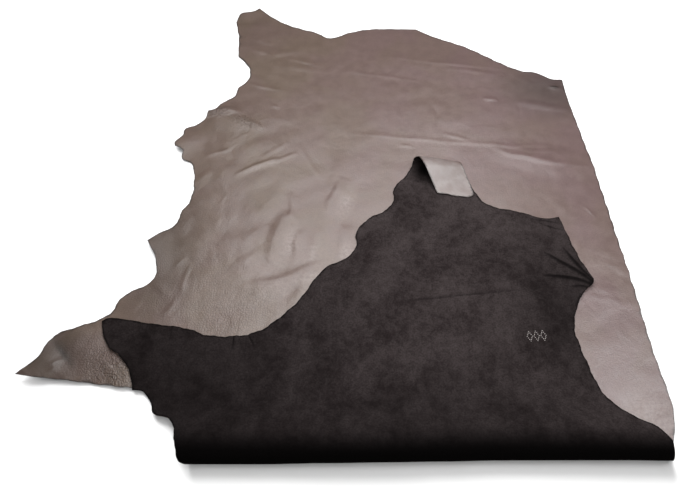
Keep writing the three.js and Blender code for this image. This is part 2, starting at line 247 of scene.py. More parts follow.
# Creases on the flat hide. Each is a ridge along a line, or a trough where its rise is negative:
# the line, how far it spreads to the left and right of the line's heading, its rise, and whether
# its crest is round or sharp. Each fades out at both ends.
CREASES = [
    ("hind shank crease", [(-0.210, 1.261), (-0.147, 1.238), (-0.081, 1.211)],
     0.016, 0.013, 0.0017, "round"),
    ("hind shank ray one", [(-0.352, 1.369), (-0.296, 1.343), (-0.233, 1.317)],
     0.020, 0.016, 0.0014, "round"),
    ("hind shank ray two", [(-0.357, 1.322), (-0.304, 1.291), (-0.257, 1.276)],
     0.020, 0.016, 0.0017, "round"),
    ("hind shank ray three", [(-0.288, 1.251), (-0.224, 1.281), (-0.165, 1.291)],
     0.022, 0.018, 0.0014, "round"),
    ("stifle crease", [(-0.322, 1.137), (-0.276, 1.121), (-0.216, 1.105)],
     0.012, 0.010, 0.0014, "round"),
    ("thigh band", [(-0.194, 1.221), (-0.145, 1.206), (-0.103, 1.197)],
     0.024, 0.020, 0.0016, "round"),
    ("thigh nick", [(-0.236, 1.040), (-0.219, 1.025)], 0.010, 0.008, 0.0012, "round"),
    ("rump line one", [(-0.013, 1.195), (0.096, 1.173), (0.222, 1.146)],
     0.013, 0.012, 0.0009, "round"),
    ("rump line two", [(0.095, 1.276), (0.164, 1.258), (0.228, 1.241), (0.372, 1.221),
                       (0.512, 1.201)], 0.014, 0.012, 0.0011, "round"),
    ("rump line three", [(0.303, 1.203), (0.354, 1.200), (0.479, 1.173)],
     0.015, 0.013, 0.0009, "round"),
    ("tail crease", [(0.409, 1.068), (0.432, 1.066), (0.456, 1.061)],
     0.012, 0.011, 0.0019, "round"),
    ("tail band", [(0.515, 1.049), (0.560, 1.040), (0.619, 1.025), (0.672, 1.018)],
     0.024, 0.018, 0.0022, "round"),
    ("hip arc", [(0.248, 1.053), (0.262, 1.005), (0.256, 0.948)],
     0.010, 0.010, -0.0009, "round"),
    ("back crease", [(-0.015, 0.920), (0.053, 0.914), (0.088, 0.910), (0.173, 0.899),
                     (0.222, 0.895), (0.274, 0.886), (0.349, 0.881), (0.423, 0.874),
                     (0.467, 0.865), (0.508, 0.870), (0.574, 0.868), (0.617, 0.858)],
     0.013, 0.011, 0.0010, "round"),
    ("back crease, short", [(0.144, 0.873), (0.164, 0.870), (0.184, 0.867)],
     0.010, 0.009, 0.0010, "round"),
    ("back crease branch", [(0.270, 0.921), (0.321, 0.901), (0.360, 0.886)],
     0.012, 0.011, 0.0012, "round"),
    ("spine crease", [(0.408, 0.872), (0.438, 0.847), (0.458, 0.832), (0.497, 0.824),
                      (0.524, 0.812), (0.583, 0.801), (0.629, 0.794), (0.700, 0.784)],
     0.017, 0.012, 0.0017, "round"),
    ("spine crease, fuller part", [(0.440, 0.852), (0.470, 0.834), (0.505, 0.826),
                                   (0.545, 0.812), (0.580, 0.804)],
     0.028, 0.018, 0.0022, "round"),
    ("spine loop", [(0.476, 0.862), (0.525, 0.845), (0.579, 0.847), (0.606, 0.828)],
     0.014, 0.011, 0.0009, "round"),
    ("spine nick", [(0.629, 0.650), (0.640, 0.631), (0.650, 0.613)],
     0.008, 0.007, 0.0009, "round"),
    ("pucker crest", [(-0.436, 1.000), (-0.405, 1.008), (-0.375, 1.012), (-0.348, 1.006),
                      (-0.325, 0.985)], 0.018, 0.014, 0.0042, "round"),
    ("pucker groove", [(-0.434, 0.976), (-0.405, 0.984), (-0.372, 0.988), (-0.350, 0.978)],
     0.008, 0.010, -0.0022, "sharp"),
    ("pucker tail", [(-0.348, 0.980), (-0.311, 0.966), (-0.286, 0.957), (-0.262, 0.938)],
     0.011, 0.010, 0.0018, "round"),
    ("flank crease", [(-0.420, 0.830), (-0.389, 0.840), (-0.347, 0.857), (-0.335, 0.880)],
     0.011, 0.011, 0.0015, "round"),
    ("flank streak", [(-0.322, 0.756), (-0.278, 0.788), (-0.250, 0.803), (-0.200, 0.824)],
     0.011, 0.020, 0.0032, "sharp"),
    ("flank streak tail", [(-0.214, 0.806), (-0.183, 0.826), (-0.148, 0.842)],
     0.010, 0.010, 0.0013, "round"),
    ("flank streak, upper", [(-0.258, 0.824), (-0.208, 0.858), (-0.180, 0.888)],
     0.013, 0.011, 0.0009, "round"),
    ("loin line", [(-0.148, 0.875), (-0.098, 0.775), (-0.072, 0.742)],
     0.012, 0.012, 0.0008, "round"),
    ("belly dimple", [(-0.424, 0.725), (-0.405, 0.758), (-0.378, 0.780)],
     0.020, 0.020, 0.0018, "round"),
    ("rib fold, upper part", [(-0.030, 0.815), (-0.036, 0.760), (-0.050, 0.690)],
     0.035, 0.026, 0.0024, "round"),
    ("rib fold", [(-0.018, 0.752), (-0.034, 0.705), (-0.052, 0.666), (-0.055, 0.625)],
     0.040, 0.018, 0.0032, "round"),
    ("rib line", [(-0.161, 0.700), (-0.157, 0.655), (-0.153, 0.605)],
     0.011, 0.011, 0.0010, "round"),
    ("rib lobe", [(-0.140, 0.622), (-0.175, 0.606), (-0.188, 0.562), (-0.195, 0.530),
                  (-0.193, 0.492), (-0.175, 0.470)], 0.048, 0.026, 0.0049, "round"),
    ("rib ridge one", [(-0.133, 0.572), (-0.137, 0.530), (-0.131, 0.478)],
     0.024, 0.016, 0.0017, "round"),
    ("rib ridge two", [(-0.080, 0.572), (-0.084, 0.525), (-0.080, 0.480)],
     0.029, 0.024, 0.0026, "round"),
    ("rib ridge three", [(-0.012, 0.590), (-0.017, 0.538), (-0.016, 0.492)],
     0.031, 0.019, 0.0026, "round"),
    ("elbow crease", [(-0.275, 0.396), (-0.230, 0.410), (-0.186, 0.417), (-0.152, 0.429),
                      (-0.124, 0.443), (-0.090, 0.461), (-0.055, 0.470)],
     0.021, 0.043, 0.0049, "round"),
    ("elbow wrinkle", [(-0.290, 0.468), (-0.250, 0.487), (-0.223, 0.491), (-0.204, 0.483),
                       (-0.188, 0.468)], 0.016, 0.014, 0.0010, "round"),
    ("elbow ridge", [(-0.080, 0.445), (-0.104, 0.418), (-0.114, 0.392), (-0.126, 0.362),
                     (-0.136, 0.335)], 0.020, 0.030, 0.0046, "round"),
    ("belly nick", [(-0.348, 0.652), (-0.341, 0.671), (-0.333, 0.692)],
     0.010, 0.010, 0.0009, "round"),
    ("brisket curve", [(-0.398, 0.470), (-0.407, 0.425), (-0.408, 0.400), (-0.405, 0.375)],
     0.009, 0.010, 0.0015, "round"),
    ("brisket streak", [(-0.440, 0.462), (-0.427, 0.474), (-0.412, 0.488)],
     0.008, 0.008, 0.0012, "round"),
    ("brisket ray one", [(-0.495, 0.424), (-0.467, 0.404), (-0.435, 0.375)],
     0.018, 0.014, 0.0014, "round"),
    ("brisket ray two", [(-0.416, 0.378), (-0.428, 0.345), (-0.446, 0.322)],
     0.012, 0.010, 0.0011, "round"),
    ("shank fold", [(-0.700, 0.282), (-0.649, 0.228), (-0.627, 0.206), (-0.600, 0.168)],
     0.056, 0.034, -0.0085, "sharp"),
    ("shank wrinkle one", [(-0.670, 0.199), (-0.658, 0.208), (-0.645, 0.216)],
     0.008, 0.008, 0.0012, "round"),
    ("shank wrinkle two", [(-0.672, 0.180), (-0.661, 0.189), (-0.650, 0.198)],
     0.008, 0.008, 0.0012, "round"),
    ("shank tip fold", [(-0.740, 0.198), (-0.721, 0.185), (-0.702, 0.172)],
     0.012, 0.010, 0.0014, "sharp"),
    ("shank root wrinkle one", [(-0.570, 0.190), (-0.553, 0.171), (-0.545, 0.152)],
     0.008, 0.008, 0.0014, "round"),
    ("shank root wrinkle two", [(-0.570, 0.222), (-0.531, 0.187), (-0.510, 0.155)],
     0.010, 0.009, 0.0016, "round"),
    ("shank root wrinkle three", [(-0.540, 0.230), (-0.505, 0.196), (-0.484, 0.158)],
     0.010, 0.009, 0.0014, "round"),
    ("spine wave one", [(0.620, 0.517), (0.663, 0.493), (0.700, 0.472)],
     0.024, 0.020, 0.0010, "round"),
    ("spine wave two", [(0.628, 0.482), (0.669, 0.458), (0.700, 0.432)],
     0.024, 0.020, 0.0010, "round"),
    ("spine wave three", [(0.572, 0.407), (0.617, 0.393), (0.660, 0.389)],
     0.022, 0.018, 0.0009, "round"),
    ("spine wave four", [(0.566, 0.384), (0.603, 0.374), (0.650, 0.367)],
     0.020, 0.018, 0.0008, "round"),
    ("spine corner ridge", [(0.632, 0.124), (0.676, 0.108), (0.700, 0.094)],
     0.030, 0.030, 0.0010, "round"),
    ("slit lips", [(0.622, 1.121), (0.642, 1.118), (0.662, 1.115)],
     0.012, 0.012, 0.0026, "round"),
    ("shoulder crease", [(0.090, -0.406), (0.168, -0.411), (0.240, -0.417), (0.314, -0.422),
                         (0.375, -0.431), (0.445, -0.437)], 0.010, 0.014, -0.0015, "sharp"),
    ("withers wrinkle one", [(0.602, -0.444), (0.573, -0.474), (0.552, -0.496),
                             (0.515, -0.528), (0.486, -0.548)], 0.013, 0.012, 0.0036, "round"),
    ("withers wrinkle two", [(0.600, -0.448), (0.574, -0.488), (0.556, -0.530),
                             (0.540, -0.566)], 0.011, 0.011, 0.0030, "round"),
    ("withers wrinkle three", [(0.598, -0.442), (0.562, -0.462), (0.520, -0.474),
                               (0.470, -0.478)], 0.012, 0.012, 0.0030, "round"),
    ("withers wrinkle four", [(0.592, -0.436), (0.560, -0.446), (0.530, -0.444)],
     0.010, 0.010, 0.0022, "round"),
    ("crest wrinkle one", [(0.470, -0.648), (0.518, -0.642), (0.560, -0.633)],
     0.010, 0.012, 0.0018, "round"),
    ("crest wrinkle two", [(0.488, -0.640), (0.527, -0.623), (0.560, -0.614)],
     0.010, 0.010, -0.0018, "sharp"),
    ("dewlap nick one", [(-0.268, -0.332), (-0.268, -0.310), (-0.267, -0.288)],
     0.007, 0.009, -0.0020, "sharp"),
    ("dewlap nick two", [(-0.238, -0.334), (-0.228, -0.315), (-0.217, -0.296)],
     0.007, 0.009, -0.0020, "sharp"),
    ("dewlap nick three", [(-0.415, -0.350), (-0.414, -0.330), (-0.414, -0.312)],
     0.008, 0.009, -0.0014, "sharp"),
]

# Lines beside which places are measured run in steps of this. A crease is looked for as far out as
# this many times its wider side, and its ends fade as a half wave to this power.
MEASURED_STEP = 0.010
CREASE_REACH = 1.2
CREASE_FADE = 0.75


def smoothstep(value, low, high):
    """0 below low, 1 above high, and eased between them."""
    share = np.clip((value - low) / (high - low), 0, 1)
    return share * share * (3 - 2 * share)


def roll_section():
    """The roll's section as arcs and straights, a row each: where it starts along the leather,
    its bend (1 / radius), its heading, and how far forward and up it starts."""
    rows = []
    run = forward = up = pitch = 0.0

    def go(bend, length):
        nonlocal run, forward, up, pitch
        rows.append((run, bend, pitch, forward, up))
        turned = pitch + bend * length
        if bend:
            forward += (math.sin(turned) - math.sin(pitch)) / bend
            up += (math.cos(pitch) - math.cos(turned)) / bend
        else:
            forward += math.cos(pitch) * length
            up += math.sin(pitch) * length
        run += length
        pitch = turned

    for arc in ROLL_ARCS:
        go(1 / arc["radius"], arc["radius"] * math.radians(arc["turn"]))
    over = pitch - math.pi
    landed = THICKNESS + LAYER_GAP + LANDING_RADIUS * (1 - math.cos(over))
    go(0, (up - landed) / math.sin(over))
    go(-1 / LANDING_RADIUS, LANDING_RADIUS * over)
    go(0, 0)
    return np.array(rows)


SECTION = roll_section()
LANDED_RUN = SECTION[-1, 0]
# From here on the roll comes down to the layer that it lands on, and takes up its swells.
SETTLES_FROM = LANDED_RUN / 3


def turn_back(run, size):
    """How far forward and up leather comes, a run past the start of a roll of that size. A roll
    of another size lands on its layer with the same gap."""
    scaled = run / size
    row = np.searchsorted(SECTION[:, 0], scaled, side="right") - 1
    start, bend, pitch, forward, up = SECTION[np.clip(row, 0, None)].T
    past = scaled - start
    turned = pitch + bend * past
    radius = 1 / np.where(bend == 0, 1, bend)
    ahead = np.where(bend == 0, np.cos(pitch) * past, (np.sin(turned) - np.sin(pitch)) * radius)
    above = np.where(bend == 0, np.sin(pitch) * past, (np.cos(pitch) - np.cos(turned)) * radius)
    lift = smoothstep(scaled, SETTLES_FROM, LANDED_RUN) * (1 - size) * (THICKNESS + LAYER_GAP)
    return (forward + ahead) * size, (up + above) * size + lift


def across_patch(x, y, at_x, at_y, length, width, heading):
    """1 in the middle of an elliptical patch, and 0 from its rim outward."""
    angle = math.radians(heading)
    lengthwise = (x - at_x) * math.cos(angle) + (y - at_y) * math.sin(angle)
    crosswise = (y - at_y) * math.cos(angle) - (x - at_x) * math.sin(angle)
    reach = np.clip((lengthwise / length) ** 2 + (crosswise / width) ** 2, 0, 1)
    return (1 - reach) ** 2


def swell_rise(rows, x, y):
    """Soft humps, level at the rim."""
    rise = np.zeros_like(x)
    for _, at_x, at_y, length, width, heading, height in rows:
        rise += height * across_patch(x, y, at_x, at_y, length, width, heading)
    return rise


def patch_amount(rows, x, y):
    """How much of something the patches of a table give, from 0 to 1."""
    amount = np.zeros_like(x)
    for _, at_x, at_y, length, width, heading, most in rows:
        amount = np.maximum(amount, most * across_patch(x, y, at_x, at_y, length, width, heading))
    return amount


def slack_rise(x, y, looseness):
    """The long soft waves, which bend a little so that no two run quite alike."""
    rise = np.zeros_like(x)
    for length, heading, height, start in SLACK_WAVES:
        angle = math.radians(heading)
        along_wave = x * math.cos(angle) + y * math.sin(angle)
        crest = y * math.cos(angle) - x * math.sin(angle)
        sideways = np.sin(2 * np.pi * crest / (WAVE_BEND_LENGTHS * length) + start)
        bent = along_wave + WAVE_BEND * length * sideways
        rise += height * (0.5 + 0.5 * np.sin(2 * np.pi * bent / length + start))
    return rise * (TAUT_SHARE + (1 - TAUT_SHARE) * looseness)


def beside_line(x, y, through):
    """How far points lie to the left of a line, how far from it, how far along it, and its length."""
    line, run = smooth_line(through, MEASURED_STEP)
    place = np.column_stack([x, y])
    off = np.full(len(place), np.inf)
    left = np.zeros(len(place))
    gone = np.zeros(len(place))
    for start, end, run_start, run_end in zip(line, line[1:], run, run[1:]):
        way = end - start
        share = np.clip(((place - start) @ way) / (way @ way), 0, 1)
        apart = place - start - share[:, None] * way
        gap = np.linalg.norm(apart, axis=1)
        closer = gap < off
        off = np.where(closer, gap, off)
        left = np.where(closer, way[0] * apart[:, 1] - way[1] * apart[:, 0], left)
        gone = np.where(closer, run_start + share * (run_end - run_start), gone)
    return left, off, gone, run[-1]


def crease_rise(x, y):
    """The ridges and troughs of the creases."""
    rise = np.zeros_like(x)
    for _, through, left_width, right_width, height, crest in CREASES:
        low = np.min(through, axis=0) - CREASE_REACH * max(left_width, right_width)
        high = np.max(through, axis=0) + CREASE_REACH * max(left_width, right_width)
        near = (x > low[0]) & (x < high[0]) & (y > low[1]) & (y < high[1])
        if not near.any():
            continue
        left, off, gone, length = beside_line(x[near], y[near], through)
        away = np.clip(off / np.where(left > 0, left_width, right_width), 0, 1)
        slope = (1 - away**2) ** 2 if crest == "round" else (1 - away) ** 2 * (1 + 0.5 * away)
        ends = np.sin(np.pi * np.clip(gone / length, 0, 1)) ** CREASE_FADE
        rise[near] += height * ends * slope
    return rise


def body_rise(x, y):
    """How far the body's own swells and slack waves lift it off the floor."""
    loose = patch_amount(LOOSE_LEATHER, x, y)
    off_the_roll = smoothstep(y, *HELD_DOWN_BY_ROLL)
    return swell_rise(BODY_SWELLS, x, y) + off_the_roll * slack_rise(x, y, loose)


# Keeps a place at the last station inside the last stretch.
JUST_INSIDE = 1e-9


def roll_at(across):
    """The shoulder roll's nose and size at places across the hide, eased from row to row."""
    stations = np.array([row["across"] for row in SHOULDER_ROLL])
    place = np.clip(across, stations[0], stations[-1] - JUST_INSIDE)
    i = np.searchsorted(stations, place, side="right") - 1
    ease = smoothstep(place, stations[i], stations[i + 1])
    found = []
    for column in ("nose", "size"):
        values = np.array([row[column] for row in SHOULDER_ROLL])
        found.append(values[i] + ease * (values[i + 1] - values[i]))
    return found


def lay_leather(across, along):
    """Where points of the flat sheet's middle surface lie, each a row of x, y, z."""
    nose, size = roll_at(across)
    heel = nose + ROLL_ARCS[0]["radius"] * size
    past = heel - along
    turned = past > 0
    forward, up = turn_back(np.maximum(past, 0), size)
    y = np.where(turned, heel - forward, along)
    up = np.where(turned, up, 0)
    past_tip = y - TIP_ROLL["heel"]
    tipped = turned & (past >= LANDED_RUN * size) & (past_tip > 0)
    tip_size = TIP_ROLL["size"] + TIP_ROLL["taper"] * (across - TIP_ROLL["at"])
    tip_forward, tip_up = turn_back(np.maximum(past_tip, 0), np.maximum(tip_size, TIP_ROLL["smallest"]))
    y = np.where(tipped, TIP_ROLL["heel"] + tip_forward, y)
    up = np.where(tipped, up + tip_up, up)
    settled = np.where(turned, smoothstep(past, SETTLES_FROM, LANDED_RUN), 1)
    rise = body_rise(across, y) + crease_rise(across, along)
    rise += np.where(turned, swell_rise(SHOULDER_SWELLS, across, y), 0)
    return np.column_stack([across, y, THICKNESS / 2 + up + settled * np.maximum(rise, 0)])


NORMAL_REACH = 0.0006


def grain_normal(across, along):
    """The grain side's direction there."""
    acrossward = (lay_leather(across + NORMAL_REACH, along)
                  - lay_leather(across - NORMAL_REACH, along))
    alongward = (lay_leather(across, along + NORMAL_REACH)
                 - lay_leather(across, along - NORMAL_REACH))
    normal = np.cross(acrossward, alongward)
    return normal / np.linalg.norm(normal, axis=1)[:, None]


# ---- The hide: its sheet of triangles --------------------------------------------------------------
# The sheet is laid out flat and then folded. Its points lie in rows that close up where it turns
# over, and in rails along each crease.
EDGE_STEP = 0.0045
CELL = 0.0095
BANDS = [
    {"band": "body", "from": 1.600, "to": 0.020, "spacing": 0.0095},
    {"band": "heel and nose", "from": 0.020, "to": -0.060, "spacing": 0.0035},
    {"band": "crown", "from": -0.060, "to": -0.110, "spacing": 0.005},
    {"band": "shoulder", "from": -0.110, "to": -0.822, "spacing": 0.0095},
    {"band": "heel and nose of the tip", "from": -0.822, "to": -0.885, "spacing": 0.003},
    {"band": "tip", "from": -0.885, "to": -1.000, "spacing": 0.006},
]
RAIL_STEP = 0.004
RAILS = (0, 0.3, 0.62, 1)
CLOSEST = 0.0022
# How clear the rows stay of a crease, in its widths, and of the edge, in cells and edge steps.
CLEAR_OF_CREASE = 1.15
CLEAR_OF_EDGE = 0.45
RAIL_CLEAR_OF_EDGE = 0.5
# The triangulation keeps the triangles inside the outline, and takes points this close for one.
KEEP_INSIDE = 1
SAME_POINT = 1e-7

# The slit that the hide was hung by while it dried.
SLIT = {"across": 0.642, "along": 1.118, "length": 0.026, "width": 0.002, "heading": -8,
        "points": 24, "pointedness": 0.5}
# A ring of points round the slit, and how far out the rest of the sheet's points start, in lengths.
SLIT_RING = {"reach": 0.55, "clear": 0.6, "points": 36}


def rows_down(along):
    """Flat leather measured in rows, in metres: one spacing of a band counts as one cell."""
    rows = np.zeros_like(along)
    for band in BANDS:
        inside = band["from"] - np.clip(along, band["to"], band["from"])
        rows += inside / band["spacing"]
    return rows * CELL


def along_at(rows):
    """Where along the hide a number of rows ends."""
    edges = np.array([BANDS[0]["from"]] + [band["to"] for band in BANDS])
    return np.interp(rows, rows_down(edges), edges)


def inside_of(points, outline):
    """Whether each point lies inside a closed outline."""
    inside = np.zeros(len(points), bool)
    for a, b in zip(outline, np.roll(outline, -1, axis=0)):
        if a[1] == b[1]:
            continue
        spans = (a[1] > points[:, 1]) != (b[1] > points[:, 1])
        crossing = a[0] + (points[:, 1] - a[1]) / (b[1] - a[1]) * (b[0] - a[0])
        inside ^= spans & (points[:, 0] < crossing)
    return inside


def slit_outline():
    """The slit's edge: a long thin eye with pointed ends."""
    angle = math.radians(SLIT["heading"])
    turn = np.linspace(0, 2 * np.pi, SLIT["points"] + 1)[:-1]
    lengthwise = SLIT["length"] / 2 * np.cos(turn)
    crosswise = SLIT["width"] / 2 * np.sin(turn) * np.abs(np.sin(turn)) ** SLIT["pointedness"]
    return np.column_stack([
        SLIT["across"] + lengthwise * math.cos(angle) - crosswise * math.sin(angle),
        SLIT["along"] + lengthwise * math.sin(angle) + crosswise * math.cos(angle)])


def crease_rails():
    """Rails of points along each crease, on its crest and on both its slopes."""
    points = []
    for _, through, left_width, right_width, _, _ in CREASES:
        line, _ = smooth_line(through, RAIL_STEP)
        way = np.gradient(line, axis=0)
        way /= np.linalg.norm(way, axis=1)[:, None]
        left = np.column_stack([-way[:, 1], way[:, 0]])
        for rail in RAILS:
            points.append(line + left * rail * left_width)
            if rail:
                points.append(line - left * rail * right_width)
    return np.concatenate(points)


def thinned(points):
    """The points, but of those that crowd together only the first."""
    kept = {}
    for point in points:
        kept.setdefault((round(point[0] / CLOSEST), round(point[1] / CLOSEST)), point)
    return np.array(list(kept.values()))


def off_the_creases(points):
    """Whether each point lies clear of every crease."""
    clear = np.ones(len(points), bool)
    for _, through, left_width, right_width, _, _ in CREASES:
        wide = max(left_width, right_width)
        low, high = np.min(through, axis=0) - wide, np.max(through, axis=0) + wide
        near = np.nonzero(np.all((points > low) & (points < high), axis=1))[0]
        if len(near):
            left, off, _, _ = beside_line(points[near, 0], points[near, 1], through)
            clear[near] &= off > CLEAR_OF_CREASE * np.where(left > 0, left_width, right_width)
    return clear


def stretched(points):
    """Places in rows down the sheet, where triangles keep a good shape."""
    return np.column_stack([points[:, 0], -rows_down(points[:, 1])])


def field_inside(outline):
    """The rails and staggered rows of points inside the outline, clear of its edge."""
    left, right = outline[:, 0].min(), outline[:, 0].max()
    row_step = CELL * math.sqrt(3) / 2
    count = int(rows_down(np.array([BANDS[-1]["to"]]))[0] / row_step)
    rows = []
    for n in range(count):
        x = np.arange(left + (n % 2) * CELL / 2, right, CELL)
        rows.append(np.column_stack([x, np.full(len(x), n * row_step)]))
    grid = np.concatenate(rows)
    grid = np.column_stack([grid[:, 0], along_at(grid[:, 1])])
    grid = grid[inside_of(grid, outline)]
    grid = grid[off_the_creases(grid)]
    rails = thinned(crease_rails())
    rails = rails[inside_of(rails, outline)]
    field = np.concatenate([rails, grid])
    room = np.concatenate([np.full(len(rails), RAIL_CLEAR_OF_EDGE * EDGE_STEP),
                           np.full(len(grid), CLEAR_OF_EDGE * CELL)])
    apart = np.full(len(field), np.inf)
    laid_out, edge = stretched(field), stretched(outline)
    for place in edge:
        apart = np.minimum(apart, np.sum((laid_out - place) ** 2, axis=1))
    return field[apart > room**2]


def flat_sheet():
    """The flat sheet's points and triangles, and its closed edges as loops of points."""
    # The outline is given clockwise. Turned round, its cut edge's triangles face outward.
    outline = cut_outline(EDGE_STEP)[::-1]
    slit = slit_outline()
    field = field_inside(outline)
    from_slit = np.linalg.norm(field - slit.mean(axis=0), axis=1)
    field = field[from_slit > SLIT_RING["clear"] * SLIT["length"]]
    turn = np.linspace(0, 2 * np.pi, SLIT_RING["points"] + 1)[:-1]
    reach = SLIT_RING["reach"] * SLIT["length"]
    ring = slit.mean(axis=0) + reach * np.column_stack([np.cos(turn), np.sin(turn)])
    points = np.concatenate([outline, slit, ring, field])
    n, m = len(outline), len(slit)
    sides = [(i, (i + 1) % n) for i in range(n)]
    sides += [(n + i, n + (i + 1) % m) for i in range(m)]
    made = delaunay_2d_cdt(stretched(points).tolist(), sides, [], KEEP_INSIDE, SAME_POINT)
    found, faces, sources = made[0], np.array(made[2]), made[3]
    order = np.array([source[0] for source in sources])
    if len(found) != len(points) or sorted(order) != list(range(len(points))):
        raise ValueError("the flat sheet's points met each other")
    faces = order[faces]
    middles = points[faces].mean(axis=1)
    faces = faces[inside_of(middles, outline) & ~inside_of(middles, slit)]
    return points, faces, [list(range(n)), list(range(n + m - 1, n - 1, -1))]


points, faces, loops = flat_sheet()
laid = lay_leather(points[:, 0], points[:, 1])
normals = grain_normal(points[:, 0], points[:, 1])
count = len(points)
vertices = np.concatenate([laid + normals * THICKNESS / 2, laid - normals * THICKNESS / 2])

GRAIN_SIDE, FLESH_SIDE, CUT_EDGE = 0, 1, 2
triangles = [faces, count + faces[:, ::-1]]
sides = [np.full(len(faces), GRAIN_SIDE), np.full(len(faces), FLESH_SIDE)]
for loop in loops:
    a = np.array(loop)
    b = np.roll(a, -1)
    triangles.append(np.column_stack([count + a, count + b, b]))
    triangles.append(np.column_stack([count + a, b, a]))
    sides.append(np.full(2 * len(loop), CUT_EDGE))
triangles = np.concatenate(triangles)
sides = np.concatenate(sides)

# The CAD solid gives the place on the floor: both are cut from the same outline.
own_low, own_high = vertices.min(axis=0), vertices.max(axis=0)
vertices[:, 0] += (hide_low.x + hide_high.x - own_low[0] - own_high[0]) / 2
vertices[:, 1] += (hide_low.y + hide_high.y - own_low[1] - own_high[1]) / 2

mesh = bpy.data.meshes.new("half_hide")
mesh.from_pydata(vertices.tolist(), [], triangles.tolist())
mesh.polygons.foreach_set("use_smooth", np.ones(len(triangles), bool))
mesh.polygons.foreach_set("material_index", sides.astype(np.int32))
rim = set()
for loop in loops:
    for a, b in zip(loop, loop[1:] + loop[:1]):
        rim.add((min(a, b), max(a, b)))
        rim.add((count + min(a, b), count + max(a, b)))
sharp = mesh.attributes.new("sharp_edge", "BOOLEAN", "EDGE")
ends = np.zeros(2 * len(mesh.edges), np.int32)
mesh.edges.foreach_get("vertices", ends)
sharp.data.foreach_set("value", [(min(a, b), max(a, b)) in rim for a, b in ends.reshape(-1, 2)])

# The flat place of each point goes with the leather, so the grain folds as the leather does.
flat_uv = mesh.uv_layers.new(name="flat_place")
corner_vertex = np.zeros(len(mesh.loops), np.int32)
mesh.loops.foreach_get("vertex_index", corner_vertex)
flat_uv.data.foreach_set("uv", points[corner_vertex % count].ravel())


def give_points(name, amounts):
    """Gives each point of the sheet an amount of something, on both of its sides."""
    layer = mesh.attributes.new(name, "FLOAT", "POINT")
    layer.data.foreach_set("value", np.tile(amounts, 2).astype(np.float32))


hide = bpy.data.objects.new("half_hide", mesh)
bpy.context.scene.collection.objects.link(hide)

# ---- The hide: its finishes ------------------------------------------------------------------------
# Chrome tanned leather has a pigmented, topcoated grain side, a flesh side buffed to a nap, and a raw
# cut edge between them. Each place on the hide carries how loose and coarse it is, how rubbed its tip
# is, and how much painted shade or painted highlight it gets.
MM = 0.001
across, along = points.T


def linear(hex_colour):
    """An sRGB hex colour as linear red, green, blue and alpha."""
    channels = [int(hex_colour[i:i + 2], 16) / 255 for i in (1, 3, 5)]
    return [c / 12.92 if c <= 0.04045 else ((c + 0.055) / 1.055) ** 2.4 for c in channels] + [1]


def feed(tree, node, inputs):
    """Gives a node's inputs, by name or in order, their values or the outputs that feed them."""
    for name, value in inputs.items() if isinstance(inputs, dict) else enumerate(inputs):
        if isinstance(value, bpy.types.NodeSocket):
            tree.links.new(value, node.inputs[name])
        else:
            node.inputs[name].default_value = value


def add(tree, kind, inputs=(), out=0, **settings):
    """Adds a shader node with its settings and links, and returns one of its outputs."""
    made = tree.nodes.new("ShaderNode" + kind)
    for name, value in settings.items():
        setattr(made, name, value)
    feed(tree, made, inputs)
    return made.outputs[out]


def new_finish(name):
    material = bpy.data.materials.new(name)
    material.use_nodes = True
    tree = material.node_tree
    return material, tree, tree.nodes["Principled BSDF"]


# Grain side: a thin satin topcoat over pigment. The eye gets a broad soft gloss, slow drifts between
# an olive and a rosy taupe, and a fine pebble that grows coarse where the leather is loose.
COARSE_GRAIN = [
    ("belly", -0.270, 0.330, 0.260, 0.140, 12, 1.0),
    ("brisket", -0.380, 0.420, 0.240, 0.200, 60, 0.7),
    ("belly edge", -0.330, 0.620, 0.330, 0.190, 95, 0.55),
    ("flank", -0.350, 0.960, 0.200, 0.110, -10, 0.6),
    ("shank root", -0.530, 0.200, 0.160, 0.100, -35, 1.6),
    ("shank", -0.600, 0.215, 0.120, 0.080, -35, 0.8),
]
CRINKLED = [
    ("pucker", -0.400, 1.000, 0.060, 0.030, 8, 2.6),
    ("pucker tail", -0.305, 0.962, 0.070, 0.022, -26, 2.2),
    ("shank root", -0.532, 0.185, 0.110, 0.065, -40, 1.2),
    ("shank side", -0.490, 0.165, 0.050, 0.030, -30, 0.7),
    ("brisket", -0.430, 0.360, 0.110, 0.070, 100, 0.25),
]
# Painted shade on the grain: darker patches at the belly edge, the fore shank and its fold, and the
# tail, where the hide is lit less. The same patches dull the gloss.
GRAIN_SHADE_PATCHES = [
    ("belly edge", -0.490, 0.540, 0.380, 0.150, 95, 0.36),
    ("fore shank", -0.690, 0.230, 0.180, 0.140, -40, 0.46),
    ("fore shank fold", -0.652, 0.236, 0.095, 0.026, -49, 0.78),
    ("tail", 0.640, 1.120, 0.240, 0.200, 0, 0.48),
]
# Painted highlights on the grain: paler patches, in small flecks, where the satin gloss catches the
# light.
PAINTED_HIGHLIGHTS = [
    ("rib lobe", -0.150, 0.530, 0.070, 0.030, 85, 1.0),
    ("rib ridge", -0.094, 0.505, 0.055, 0.018, 85, 0.8),
    ("by the flap", -0.010, 0.660, 0.070, 0.035, 70, 0.8),
    ("neck side", -0.008, 0.500, 0.060, 0.034, 80, 0.9),
    ("elbow", -0.105, 0.425, 0.090, 0.026, 22, 0.8),
    ("flank streak", -0.247, 0.790, 0.080, 0.014, 25, 0.8),
    ("middle", -0.190, 0.400, 0.280, 0.200, 20, 0.42),
    ("behind the tip", 0.260, 0.900, 0.260, 0.120, 0, 0.45),
    ("by the spine", 0.600, 0.480, 0.120, 0.120, 80, 0.35),
    ("spine corner", 0.635, 0.080, 0.110, 0.110, 0, 0.7),
    ("pucker", -0.405, 1.004, 0.070, 0.030, 8, 0.5),
    ("pucker tail", -0.310, 0.964, 0.070, 0.020, -26, 0.4),
]
